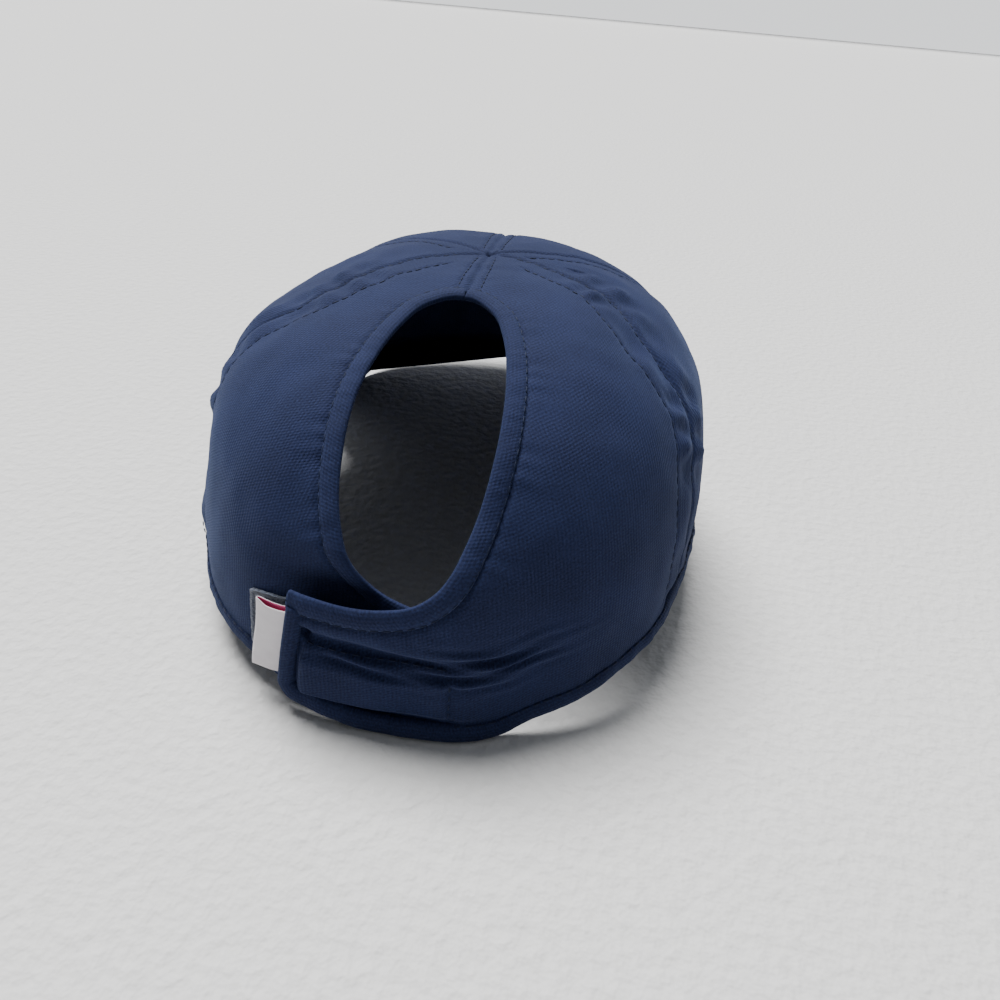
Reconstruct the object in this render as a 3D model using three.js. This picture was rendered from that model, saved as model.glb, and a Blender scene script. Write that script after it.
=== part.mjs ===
// Ponytail baseball cap, open at the back, closed low down by a hook-and-loop strap.
// Millimetres, +Z up. The peak points towards -Y, the ponytail opening faces +Y, the wearer's left is +X.
// The cap stands by itself: the back of its rim and the two drooping sides of its peak touch z = 0.
import * as THREE from 'three';

const DEG = Math.PI / 180;

// Rim and crown
const RIM_HALF_LENGTH = 98.2;     // centre of the rim to its front and back
const RIM_HALF_WIDTH = 79.9;      // centre of the rim to each side
const RIM_EXPONENT = 2.19;        // 2 is an ellipse, more is squarer
const RIM_RISE = 22.3;            // height of the rim at the sides of the standing cap
const RIM_RISE_POWER = 0.63;
const RIM_FLAT = 0.03;            // share of the half length that lies flat on the surface at the back
const RIM_EASE = 0.07;            // share of the half length over which the rise starts
const CROWN_HEIGHT = 96.6;        // top of the cap above the surface
const APEX_FORWARD = 24;          // top of the cap in front of the rim's centre
const CROWN_EXPONENT = 2.72;      // fullness of the shoulders
const RELIEF = 3.5;               // largest sag or bulge of the soft crown
const PANEL_PUFF = 1.0;           // how far each panel stands proud between its seams

// Cloth, bindings and gaps
const CLOTH = 1.2;
const GAP = 0.3;                  // between sewn pieces
const RIM_GAP = 0.6;              // between the crown's cloth and the rim binding
const BINDING_PROUD = 0.6;        // binding beyond the cloth, outside and inside
const BINDING_BEVEL = 0.5;
const OPENING_BINDING = 5.6;      // width of the binding round the ponytail opening
const RIM_BINDING = 5.8;          // width of the binding along the rim
const END_BINDING = 4.2;          // width of the binding up the strap's end
const TIP_RADIUS = 1.2;           // where the six panel tips meet

// Ponytail opening, measured over the crown from its top
const OPENING_TOP = 37.8;
const OPENING_LENGTH = 98.6;
const OPENING_HALF_WIDTH = 19.4;

// Closure
const STRAP_LIFT = 4;             // outer face of the strap outside the band under it
const STRAP_END_X = 32.3;         // foot of the strap's end, left of the middle
const STRAP_LEAN = 6.3;           // top of the strap's end nearer the middle than its foot
const STRAP_END_RAISE = 4.5;      // rim of the strap's end above the rim beside it
const STRAP_RAMP = 26;            // stretch over which the strap rises from the crown
const STRAP_CORNER = 5.5;         // rounding of the strap's lower corner
const STRAP_STEP = 2;             // top edge of the strap below the opening's lower end
const BAND_END_X = -14;           // end of the left band under the strap
const BAND_RAISE = 4;             // rim of the left band above the strap's rim
const BAND_DIP = 4.5;              // how far the left band dives under the strap
const CREASE = 0.8;               // depth of the fold along the strap
const PATCH = 1.0;                // thickness of the hook and the loop patch
const HOOK_FROM_X = -13;
const HOOK_LENGTH = 36;
const HOOK_SHARE = 0.39;          // height of the hook patch as a share of the strap's height
const LOOP_FROM_X = -6;
const LOOP_LENGTH = 47;
const LOOP_SHARE = 0.45;          // height of the loop patch's outer end as a share of the strap's height
const LABEL_WIDTH = 7.2;
const LABEL_SHARE = 0.63;         // height of the label as a share of the strap's height
const LABEL_THICKNESS = 1.2;
const LABEL_ABOVE_RIM = 5.4;
const LABEL_TILT = 0.8;           // rise of the label's foot towards the strap
const LABEL_LEAN = 2.7;           // foot of the label farther from the strap than its top

// Peak
const PEAK_SPREAD = 62;           // degrees from the middle to each end of the peak
const PEAK_LENGTH = 74;
const PEAK_THICKNESS = 3;
const PEAK_TIP_HEIGHT = 24;       // underside of the peak's front edge at the middle
const PEAK_REST_HALF_WIDTH = 74;  // from here outwards the peak's edge lies on the surface
const PEAK_CAMBER = 2;            // rise of the peak between its root and its edge

// Fineness of the surfaces
const OPENING_STEPS = 34;
const CENTRE_STEPS = 5;
const RIM_STEPS = 46;
const SEAM_STEPS = 24;

const NAVY = new THREE.Color(0.035, 0.05, 0.11);
const cloth = (name, tone = 1, roughness = 0.9) =>
  new THREE.MeshStandardMaterial({ name, color: NAVY.clone().multiplyScalar(tone), roughness, metalness: 0 });

// Where the seams run. Columns: share of the way from the top to the rim, then degrees round from the
// front for the front seams, the back seam on the wearer's left and the back seam on the right.
const SEAMS = [
  [0.00, 50, 96, 84],
  [0.09, 53, 101, 89],
  [0.20, 56, 105, 92.5],
  [0.31, 58, 107.5, 95],
  [0.40, 59, 107.5, 101.5],
  [0.50, 60, 105, 103.5],
  [0.60, 61, 104, 104],
  [0.72, 61.5, 107, 108],
  [0.85, 62, 109.5, 110],
  [1.00, 62, 111, 112],
];
// Half of the ponytail opening. Columns: share of its length from the top, share of its half width.
const OPENING = [
  [0, 0], [0.008, 0.16], [0.03, 0.31], [0.085, 0.53], [0.15, 0.68], [0.26, 0.85], [0.41, 0.975],
  [0.56, 1], [0.72, 0.93], [0.85, 0.76], [0.92, 0.6], [0.965, 0.4], [0.99, 0.2], [1, 0],
];
// Run of an opening edge below the opening. Columns: millimetres above the strap's top, x towards the far side.
const TURN_UNDER = [[1.6, 0.5], [0.5, 6], [0, 12], [0, 19]];
// Sags and bulges of the crown. Columns: degrees round from the front (+ is the wearer's left), share of
// the way down, half spans of both, depth as a share of RELIEF (+ is outwards).
const SAGS = [
  [96, 0.62, 26, 0.13, 1.0],
  [95, 0.93, 22, 0.10, 0.35],
  [85, 0.44, 24, 0.12, -0.55],
  [128, 0.34, 28, 0.10, -0.45],
  [112, 0.75, 8, 0.05, -0.45],
  [-104, 0.95, 18, 0.07, -0.30],
  [-98, 0.58, 16, 0.10, 0.35],
  [-107, 0.50, 5, 0.04, -0.40],
  [-110, 0.42, 6, 0.03, -0.30],
  [112, 0.45, 6, 0.04, -0.30],
  [-60, 0.55, 22, 0.16, 0.45],
  [55, 0.55, 22, 0.16, 0.25],
  [182, 0.94, 26, 0.17, -1.10],
];

const clamp = (v, low, high) => Math.min(high, Math.max(low, v));
const mix = (a, b, t) => a + (b - a) * t;
const smooth = (v, from, to) => {
  const t = clamp((v - from) / (to - from), 0, 1);
  return t * t * (3 - 2 * t);
};
const power = (v, exponent) => Math.sign(v) * Math.abs(v) ** exponent;
const tableValue = (table, key, column) => {
  let row = 1;
  while (row < table.length - 1 && table[row][0] < key) row += 1;
  const [low, high] = [table[row - 1], table[row]];
  return mix(low[column], high[column], clamp((key - low[0]) / (high[0] - low[0]), 0, 1));
};

// Angles along the crown's profile at equal steps of its length
const PROFILE_STEPS = 400;
const profile = [];
for (let k = 0, length = 0, last = null; k <= PROFILE_STEPS; k += 1) {
  const angle = Math.PI / 4 * (1 - Math.cos(Math.PI * k / PROFILE_STEPS));
  const point = new THREE.Vector2(RIM_HALF_LENGTH * Math.sin(angle) ** (2 / CROWN_EXPONENT),
    CROWN_HEIGHT * Math.cos(angle) ** (2 / CROWN_EXPONENT));
  if (last) length += point.distanceTo(last);
  profile.push([length, angle]);
  last = point;
}
const profileAngle = (share) => tableValue(profile, share * profile.at(-1)[0], 1);

// The crown's outer surface at an azimuth round from the front and a share of the way down to the rim
function crown(azimuth, share) {
  const [s, c] = [Math.sin(azimuth), Math.cos(azimuth)];
  const x = RIM_HALF_WIDTH * power(s, 2 / RIM_EXPONENT);
  const y = -RIM_HALF_LENGTH * power(c, 2 / RIM_EXPONENT);
  const forward = Math.max(0, 1 - y / RIM_HALF_LENGTH - RIM_FLAT);
  const z = RIM_RISE * forward ** RIM_RISE_POWER * smooth(forward, 0, RIM_EASE);
  const exponent = 2 / CROWN_EXPONENT;
  const angle = profileAngle(clamp(share, 0, 1));
  const out = Math.sin(angle) ** exponent;
  const up = share >= 1 ? 0 : Math.cos(angle) ** exponent;
  return new THREE.Vector3(x * out, mix(-APEX_FORWARD, y, out), mix(z, CROWN_HEIGHT, up));
}

function relief(azimuth, share) {
  let depth = 0;
  for (const [at, down, span, fall, amount] of SAGS) {
    let turn = (azimuth / DEG - at) % 360;
    if (turn > 180) turn -= 360;
    if (turn < -180) turn += 360;
    depth += amount * RELIEF * Math.exp(-((turn / span) ** 2) - ((share - down) / fall) ** 2);
  }
  return depth * smooth(share, 0, 0.12);
}

// Steps along the surface for one radian of azimuth and for the whole way down, and the outward normal
function frameAt(azimuth, share) {
  const h = 1e-3;
  const [s0, s1] = [Math.max(share - h, 1e-4), Math.min(share + h, 1)];
  const round = crown(azimuth + h, share).sub(crown(azimuth - h, share)).divideScalar(2 * h);
  const down = crown(azimuth, s1).sub(crown(azimuth, s0)).divideScalar(s1 - s0);
  const normal = down.clone().cross(round).normalize();
  if (share < 0.004) normal.set(0, 0, 1);
  if (share > 0.9995) normal.setZ(0).normalize();
  return { round, down, normal };
}

// A point at a height above the crown's surface
function place(azimuth, share, lift = 0) {
  const { normal } = frameAt(azimuth, share);
  return crown(azimuth, share).addScaledVector(normal, lift + relief(azimuth, share));
}

const ladder = (from, to, count) => Array.from({ length: count }, (_, i) => mix(from, to, i / (count - 1)));

// Moves a surface position {azimuth, share} by a distance along a direction in space
function step({ azimuth, share }, direction, distance) {
  const { round, down } = frameAt(azimuth, share);
  const [a, b, d] = [round.dot(round), round.dot(down), down.dot(down)];
  const [p, q] = [round.dot(direction) * distance, down.dot(direction) * distance];
  const det = a * d - b * b;
  return { azimuth: azimuth + (p * d - q * b) / det, share: share + (q * a - p * b) / det };
}

// The azimuth near the back at which the surface has a given x
function azimuthAtX(x, share) {
  let [low, high] = [0, Math.PI / 2];
  for (let k = 0; k < 40; k += 1) {
    const middle = (low + high) / 2;
    if (crown(Math.PI - middle, share).x < Math.abs(x)) low = middle; else high = middle;
  }
  return Math.PI - Math.sign(x) * low;
}
// Length over the crown from its top to the rim
function fall(azimuth) {
  let length = 0;
  for (let k = 1; k <= 60; k += 1) length += crown(azimuth, k / 60).distanceTo(crown(azimuth, (k - 1) / 60));
  return length;
}
const backLength = fall(Math.PI);
const atX = ([x, share]) => ({ azimuth: azimuthAtX(x, share), share });

// The strap lies outside the left band: how far it is lifted off the crown
function strapLift(azimuth, share) {
  if (Math.cos(azimuth) > 0) return 0;
  const x = crown(azimuth, share).x;
  const start = BAND_END_X - 1 - STRAP_RAMP;
  return STRAP_LIFT * smooth(x, start, start + STRAP_RAMP) * smooth(share, 0.58, 0.73);
}

// The left band dives under the strap beside the opening
function bandDip(azimuth, share) {
  if (Math.cos(azimuth) > 0) return 0;
  const x = crown(azimuth, share).x;
  return -BAND_DIP * Math.exp(-(((x - 15) / 16) ** 2)) * smooth(share, 0.68, 0.77) * (1 - smooth(share, 0.80, 0.97));
}

function solid(name, positions, faces, material) {
  const geometry = new THREE.BufferGeometry();
  geometry.setAttribute('position', new THREE.Float32BufferAttribute(positions.flatMap((p) => [p.x, p.y, p.z]), 3));
  let volume = 0;
  for (const [a, b, c] of faces) volume += positions[a].dot(positions[b].clone().cross(positions[c]));
  const turned = volume < 0 ? faces.map(([a, b, c]) => [a, c, b]) : faces;
  geometry.setIndex(turned.flat());
  geometry.computeVertexNormals();
  const mesh = new THREE.Mesh(geometry, material);
  mesh.name = name;
  return mesh;
}

// A closed sheet between two grids of points of equal size
function closedSheet(name, top, under, material) {
  const [rows, columns] = [top.length, top[0].length];
  const positions = [...top.flat(), ...under.flat()];
  const at = (side, i, j) => side * rows * columns + i * columns + j;
  const faces = [];
  const quad = (a, b, c, d) => faces.push([a, b, c], [a, c, d]);
  for (let i = 0; i < rows - 1; i += 1) {
    for (let j = 0; j < columns - 1; j += 1) {
      quad(at(0, i, j), at(0, i, j + 1), at(0, i + 1, j + 1), at(0, i + 1, j));
      quad(at(1, i, j), at(1, i + 1, j), at(1, i + 1, j + 1), at(1, i, j + 1));
    }
    quad(at(0, i, 0), at(0, i + 1, 0), at(1, i + 1, 0), at(1, i, 0));
    quad(at(0, i + 1, columns - 1), at(0, i, columns - 1), at(1, i, columns - 1), at(1, i + 1, columns - 1));
  }
  for (let j = 0; j < columns - 1; j += 1) {
    quad(at(0, 0, j + 1), at(0, 0, j), at(1, 0, j), at(1, 0, j + 1));
    quad(at(0, rows - 1, j), at(0, rows - 1, j + 1), at(1, rows - 1, j + 1), at(1, rows - 1, j));
  }
  return solid(name, positions, faces, material);
}

// A cloth panel ruled between two edges, each a list of surface positions from the top downwards
function panel(name, inner, outer, { columns = 9, lift = () => 0, fold = () => 0, puff = PANEL_PUFF } = {}) {
  const grid = (drop) => inner.map((from, i) => Array.from({ length: columns }, (_, j) => {
    const u = j / (columns - 1);
    const [azimuth, share] = [mix(from.azimuth, outer[i].azimuth, u), mix(from.share, outer[i].share, u)];
    const crownPuff = puff * Math.sin(Math.PI * u) * smooth(share, 0.02, 0.25) * (1 - smooth(share, 0.6, 0.8));
    return place(azimuth, share, lift(azimuth, share) + fold(azimuth, share, u) + crownPuff - drop);
  }));
  return closedSheet(name, grid(0), grid(CLOTH), cloth('cap cloth'));
}

// A folded binding swept along an edge. inwards gives the direction from the edge onto the cloth.
function binding(name, path, width, inwards, lift = () => 0) {
  const rings = path.map((from, i) => {
    const w = width(i);
    const [out, inn] = [BINDING_PROUD, -CLOTH - BINDING_PROUD];
    const section = [[0, out - BINDING_BEVEL], [BINDING_BEVEL, out], [w, out], [w, inn], [BINDING_BEVEL, inn],
      [0, inn + BINDING_BEVEL]];
    return section.map(([u, v]) => {
      const p = step(from, inwards(i), u);
      return place(p.azimuth, Math.min(p.share, 1), v + lift(p.azimuth, p.share));
    });
  });
  const ring = rings[0].length;
  const faces = [];
  for (let i = 0; i < rings.length - 1; i += 1) {
    for (let k = 0; k < ring; k += 1) {
      const [a, b] = [i * ring + k, i * ring + (k + 1) % ring];
      faces.push([a, b, b + ring], [a, b + ring, a + ring]);
    }
  }
  const last = (rings.length - 1) * ring;
  for (let k = 1; k < ring - 1; k += 1) faces.push([0, k + 1, k], [last, last + k, last + k + 1]);
  return solid(name, rings.flat(), faces, cloth('binding cloth', 0.9));
}

// The direction from an edge onto the cloth: square to the edge, along the surface. side is 1 or -1.
function across(path, side) {
  return (i) => {
    const [a, b] = [path[Math.max(i - 1, 0)], path[Math.min(i + 1, path.length - 1)]];
    const along = crown(b.azimuth, b.share).sub(crown(a.azimuth, a.share));
    const { normal } = frameAt(path[i].azimuth, path[i].share);
    return normal.cross(along).normalize().multiplyScalar(side);
  };
}

// Seam positions, held half a gap to one side (side is 1 towards a larger azimuth)
const COLUMN = { centre: 0, front: 1, backLeft: 2, backRight: 3 };
function beside(azimuth, share, side) {
  const { round } = frameAt(azimuth, share);
  return { azimuth: azimuth + side * (GAP / 2) / round.length(), share };
}
const seamAzimuth = (column, share, sign) => (column ? sign * tableValue(SEAMS, share, column) * DEG : 0);
const seam = (column, share, sign, side) => beside(seamAzimuth(column, share, sign), share, side);
const tip = TIP_RADIUS / backLength;
const aboveRim = (azimuth, share = 1) => share - (RIM_BINDING + RIM_GAP) / frameAt(azimuth, share).down.length();
const seamEdge = (column, sign, side) => {
  const bottom = aboveRim(seamAzimuth(column, 1, sign));
  return [tip, ...ladder(0.05, bottom, SEAM_STEPS)].map((share) => seam(column, share, sign, side));
};

// The leaning end of the strap and the rise of its rim
const strapTop = (OPENING_TOP + OPENING_LENGTH + STRAP_STEP) / backLength;
const strapHeight = (1 - strapTop) * backLength;
const endX = (share) => STRAP_END_X - STRAP_LEAN * (1 - clamp((share - strapTop) / (1 - strapTop), 0, 1));
const endRaise = (x) => STRAP_END_RAISE / backLength * smooth(x, 2, STRAP_END_X);
const innerX = (share) => endX(share) - END_BINDING - GAP;

// The edge of the ponytail opening on one side, from the top of the opening downwards. Below it the
// edge runs on along the top of the strap (right panel) or of the band under it (left panel).
function openingEdge(sign, reach, drop) {
  const top = strapTop * backLength + drop;
  const outline = OPENING.slice(0, -1).map(([down, half]) => [sign * half * OPENING_HALF_WIDTH, OPENING_TOP + down * OPENING_LENGTH]);
  const run = TURN_UNDER.filter(([, x]) => x < reach - 2).map(([above, x]) => [-sign * x, top - above]);
  const points = [...outline, ...run, [-sign * reach, top]].map(([x, y]) => new THREE.Vector3(x, y, 0));
  const stations = new THREE.CatmullRomCurve3(points, false, 'centripetal').getSpacedPoints(OPENING_STEPS);
  return stations.map((p, i) => atX([i ? p.x : sign * GAP / 2, p.y / backLength]));
}
const rightEdge = openingEdge(-1, endX(strapTop), 0);
const leftEdge = openingEdge(1, -BAND_END_X, GAP);

// The rim's edge on each side. The right one starts at the top of the strap's end, turns its rounded
// corner and runs along the rim; the left one starts at the band's end under the strap.
const bandRaise = (x) => BAND_RAISE / backLength
  * (1 - smooth(x, STRAP_END_X + RIM_BINDING, STRAP_END_X + RIM_BINDING + STRAP_RAMP));
const leftRim = ladder(azimuthAtX(BAND_END_X, 1), GAP / 2 / RIM_HALF_WIDTH, RIM_STEPS)
  .map((azimuth) => {
    const x = Math.cos(azimuth) < 0 ? crown(azimuth, 1).x : RIM_HALF_WIDTH;
    return { azimuth, share: 1 - bandRaise(x) };
  });
const backX = (azimuth) => (Math.cos(azimuth) < 0 ? crown(azimuth, 1).x : 0);
const strapRim = (azimuth) => 1 - endRaise(backX(azimuth));
const cornerX = STRAP_END_X - STRAP_CORNER;
const cornerShare = 1 - endRaise(STRAP_END_X) - STRAP_CORNER / backLength;
const below = (share, distance) => share + distance / frameAt(azimuthAtX(endX(share), share), share).down.length();
const strapEnd = ladder(below(strapTop, OPENING_BINDING + 5 * GAP), cornerShare, 6).slice(0, -1)
  .map((share) => [endX(share), share]);
const corner = ladder(0, Math.PI / 2, 7).map((angle) => {
  const x = cornerX + (endX(cornerShare) - cornerX) * Math.cos(angle);
  return [x, mix(cornerShare, 1 - endRaise(x), Math.sin(angle))];
});
const rightRim = [
  ...strapEnd.map(atX), ...corner.map(atX),
  ...ladder(azimuthAtX(cornerX, 1), 2 * Math.PI - GAP / 2 / RIM_HALF_WIDTH, RIM_STEPS).slice(1)
    .map((azimuth) => ({ azimuth, share: strapRim(azimuth) })),
];
const rightRimWidth = (i) => mix(END_BINDING, RIM_BINDING, clamp((i - strapEnd.length) / corner.length, 0, 1));

// A back panel. Its inner edge runs down the centre seam, round the opening's binding and along the
// strap's or band's top; its outer edge runs down the back seam and then along the rim.
function backPanel(name, sign, edge, lastX, toX, rimShare, options) {
  const inwards = across(edge, -sign);
  const butt = edge.map((p, i) => step(p, inwards(i), OPENING_BINDING + GAP));
  const centre = [tip, ...ladder(0.05, butt[0].share - 0.02, CENTRE_STEPS)]
    .map((share) => beside(Math.PI, share, -sign));
  const before = butt.filter((p) => sign * (crown(p.azimuth, p.share).x - lastX(p.share)) > 1);
  const inner = [...centre, ...before, atX([lastX(before.at(-1).share), before.at(-1).share])];
  const whole = (p) => ({ ...p, azimuth: p.azimuth < 0 ? p.azimuth + 2 * Math.PI : p.azimuth });
  const down = seamEdge(sign > 0 ? COLUMN.backLeft : COLUMN.backRight, sign, sign).map(whole);
  const along = ladder(down.at(-1).azimuth, azimuthAtX(toX, 1), inner.length - down.length + 1).slice(1)
    .map((azimuth) => ({ azimuth, share: rimShare(azimuth) }));
  const outer = [...down, ...along];
  return panel(name, inner, outer, options);
}

// A flat piece on the strap or the band. corners(u, v) gives x and the height over the rim, for u from its
// inner end outwards and v from its upper edge down.
function patch(name, spot, low, high, material, lift = () => 0) {
  const grid = (height) => ladder(0, 1, 10).map((u) => ladder(0, 1, 5).map((v) => {
    const [x, above] = spot(u, v);
    const { azimuth, share } = atX([x, 1 - above / backLength]);
    return place(azimuth, share, height + lift(azimuth, share));
  }));
  return closedSheet(name, grid(high), grid(low), material);
}
const footOver = (x, rimShare) => (1 - aboveRim(azimuthAtX(x, 1), rimShare)) * backLength + GAP;

function peak() {
  const spread = PEAK_SPREAD * DEG;
  const columns = ladder(-spread, spread, 33);
  const grid = (raise) => columns.map((azimuth) => {
    const root = place(azimuth, 1, BINDING_PROUD + GAP);
    const turn = Math.abs(azimuth) / spread;
    const reach = PEAK_LENGTH * (1 - turn ** 2.6) ** 0.75 + GAP;
    const end = root.clone().add(new THREE.Vector3(Math.sin(0.45 * azimuth), -Math.cos(0.45 * azimuth), 0)
      .multiplyScalar(reach));
    const arch = PEAK_TIP_HEIGHT * Math.max(0, 1 - (Math.abs(end.x) / PEAK_REST_HALF_WIDTH) ** 2.2);
    end.z = Math.max(arch, root.z - 0.8 * reach);
    return ladder(0, 1, 7).map((u) => {
      const p = root.clone().lerp(end, u);
      p.z += PEAK_CAMBER * Math.sin(Math.PI * u) * (reach / PEAK_LENGTH) + raise;
      return p;
    });
  });
  return closedSheet('peak', grid(PEAK_THICKNESS), grid(0), cloth('peak cloth'));
}

const cap = new THREE.Group();
cap.name = 'ponytail_baseball_cap';

cap.add(panel('front_panel_left', seamEdge(COLUMN.centre, 1, 1), seamEdge(COLUMN.front, 1, -1)));
cap.add(panel('front_panel_right', seamEdge(COLUMN.centre, 1, -1), seamEdge(COLUMN.front, -1, 1)));
cap.add(panel('side_panel_left', seamEdge(COLUMN.front, 1, 1), seamEdge(COLUMN.backLeft, 1, -1)));
cap.add(panel('side_panel_right', seamEdge(COLUMN.front, -1, -1), seamEdge(COLUMN.backRight, -1, 1)));
const bandShare = (azimuth) => aboveRim(azimuth, 1 - bandRaise(crown(azimuth, 1).x));
cap.add(backPanel('back_panel_left', 1, leftEdge, () => BAND_END_X, BAND_END_X, bandShare, { lift: bandDip, columns: 15 }));
cap.add(backPanel('back_panel_right', -1, rightEdge, innerX, cornerX - GAP, (azimuth) => aboveRim(azimuth, strapRim(azimuth)), {
  lift: strapLift,
  fold: (azimuth, share, u) => -CREASE * Math.exp(-(((u - 0.12) / 0.09) ** 2)) * strapLift(azimuth, share) / STRAP_LIFT,
}));
cap.add(binding('opening_binding_left', leftEdge, () => OPENING_BINDING, across(leftEdge, -1), bandDip));
cap.add(binding('opening_binding_right', rightEdge, () => OPENING_BINDING, across(rightEdge, 1), strapLift));
cap.add(binding('rim_binding_left', leftRim, () => RIM_BINDING, across(leftRim, -1)));
cap.add(binding('rim_binding_right', rightRim, rightRimWidth, across(rightRim, 1), strapLift));

const hookOuter = STRAP_LIFT - CLOTH - GAP;
cap.add(patch('hook_patch', (u, v) => {
  const x = HOOK_FROM_X + u * HOOK_LENGTH;
  return [x, footOver(x, 1 - endRaise(x)) + HOOK_SHARE * strapHeight * (1 - v)];
}, hookOuter - PATCH, hookOuter, cloth('hook tape', 0.6)));
cap.add(patch('loop_patch', (u, v) => {
  const x = LOOP_FROM_X + u * LOOP_LENGTH;
  const rise = 0.5 * clamp((1 - u) * LOOP_LENGTH, 0, 13.5) - 7 * (1 - smooth(x, 12, 26));
  return [x, footOver(x, 1 - bandRaise(x)) + (LOOP_SHARE * strapHeight + rise) * (1 - v)];
}, GAP, GAP + PATCH, cloth('loop tape', 0.7, 1), bandDip));
const labelLow = GAP + PATCH + GAP;
const labelEnd = STRAP_END_X + GAP + LABEL_WIDTH;
cap.add(patch('label', (u, v) => {
  const out = (1 - u) * LABEL_WIDTH;
  const above = LABEL_ABOVE_RIM + LABEL_TILT * out + (LABEL_SHARE * strapHeight - 0.28 * out) * (1 - v);
  return [mix(endX(1 - above / backLength) + GAP, labelEnd - LABEL_LEAN * (1 - v), u), above];
}, labelLow, labelLow + LABEL_THICKNESS,
new THREE.MeshStandardMaterial({ name: 'label satin', color: 0xeeeaea, roughness: 0.55, metalness: 0 })));
cap.add(peak());

// The origin is under the middle of the whole cap, on the surface that it stands on
const box = new THREE.Box3().setFromObject(cap);
const middle = box.getCenter(new THREE.Vector3());
cap.position.set(-middle.x, -middle.y, -box.min.z);

export default cap;
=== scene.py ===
"""Looks of the ponytail baseball cap: sewn navy panels, bindings, closure strap, label, peak and stitches.

Lengths are in millimetres in the crown's own frame, as in the CAD source, until a mesh is written in metres.
"""

import math

import bmesh
import bpy
import numpy as np
from mathutils import Matrix, Vector, noise


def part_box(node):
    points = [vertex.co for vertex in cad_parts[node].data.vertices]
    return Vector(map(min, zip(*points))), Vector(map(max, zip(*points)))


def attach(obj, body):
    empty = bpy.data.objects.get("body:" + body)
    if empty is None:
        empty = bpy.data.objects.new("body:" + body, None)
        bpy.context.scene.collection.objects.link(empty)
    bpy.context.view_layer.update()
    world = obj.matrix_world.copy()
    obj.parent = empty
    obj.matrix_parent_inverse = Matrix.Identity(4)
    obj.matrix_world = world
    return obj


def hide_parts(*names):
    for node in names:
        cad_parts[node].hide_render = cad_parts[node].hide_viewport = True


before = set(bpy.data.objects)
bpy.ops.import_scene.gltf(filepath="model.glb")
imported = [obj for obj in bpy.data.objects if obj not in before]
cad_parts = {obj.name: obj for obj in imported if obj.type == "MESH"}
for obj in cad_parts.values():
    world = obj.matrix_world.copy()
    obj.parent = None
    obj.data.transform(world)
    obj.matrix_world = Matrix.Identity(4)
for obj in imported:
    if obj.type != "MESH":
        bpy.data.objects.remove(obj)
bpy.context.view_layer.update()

# Crown and rim
RIM_HALF_LENGTH = 98.2
RIM_HALF_WIDTH = 79.9
RIM_EXPONENT = 2.19
RIM_RISE = 22.3
RIM_RISE_POWER = 0.63
RIM_FLAT = 0.03
RIM_EASE = 0.07
CROWN_HEIGHT = 96.6
APEX_FORWARD = 24
CROWN_EXPONENT = 2.72
RELIEF = 3.5
PANEL_PUFF = 1.0
CLOTH = 1.2
GAP = 0.3
OPENING_BINDING = 5.6
RIM_BINDING = 5.8
END_BINDING = 4.2
BINDING_OVERLAP = 1   # of a binding over the cloth or the binding that ends under it
BINDING_HEIGHT = 0.6  # of a binding over the cloth
TIP_RADIUS = 0.4

# Ponytail opening and closure
OPENING_TOP = 37.8
OPENING_LENGTH = 98.6
OPENING_HALF_WIDTH = 19.4
STRAP_LIFT = 4
STRAP_END_X = 32.3
STRAP_RAMP = 26
STRAP_CORNER = 5.5
STRAP_STEP = 2
STRAP_LEAN = 6.3       # top of the strap's end nearer the middle than its foot
STRAP_END_RAISE = 4.5  # foot of the strap's end above the crown's rim
STRAP_TUCK = 0.8       # strap's cloth under the inner edge of its end binding
PANEL_TUCK = 0.9       # back panels' cloth under the inner edge of the opening binding
HEM_TUCK = 0.6         # middle of the hollow under that edge
BAND_END_X = -14
BAND_RAISE = 4
HOOK_FROM_X = -13
HOOK_LENGTH = 36
PATCH_HEIGHT = 17
LOOP_FROM_X = -6
LOOP_LENGTH = 47
LOOP_END_X = LOOP_FROM_X + LOOP_LENGTH
LOOP_HEIGHT = 19.5
LABEL_WIDTH = 7.2
LABEL_HEIGHT = 27.5
LABEL_ABOVE_RIM = 5.4
LABEL_TILT = 0.8       # rise of the label's foot for each millimetre towards the strap
LABEL_LEAN = 2.7       # top of the label nearer the strap than its foot
LABEL_TUCK = 2.5       # label under the strap's end
LABEL_FRONT = 3.0      # heights of the label's two layers over the crown
LABEL_BACK = 1.75
LABEL_RIBBON = 0.22
PATCH_CLEAR = 0.9      # feet of the patches over the rim binding
HOOK_OUTER = STRAP_LIFT - CLOTH - GAP
HOOK_THICKNESS = 1.0
LOOP_OUTER = GAP + 0.9
LOOP_THICKNESS = 1.5
SELVAGE_OUTER = GAP + 1.15
SELVAGE_THICKNESS = 0.45
SELVAGE_WIDTH = 1.0

# Peak
PEAK_SPREAD = math.radians(62)
PEAK_LENGTH = 74
PEAK_THICKNESS = 3
PEAK_TIP_HEIGHT = 24
PEAK_REST_HALF_WIDTH = 74
PEAK_CAMBER = 2
PEAK_FLAT = 0.94        # share of the peak's reach before its rounded edge
PEAK_ROWS = (8, 18, 28, 38, 48, 58, 68)  # stitched rows, by distance from the crown
PEAK_ROW_END = 4        # a row's end before the peak's edge

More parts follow.
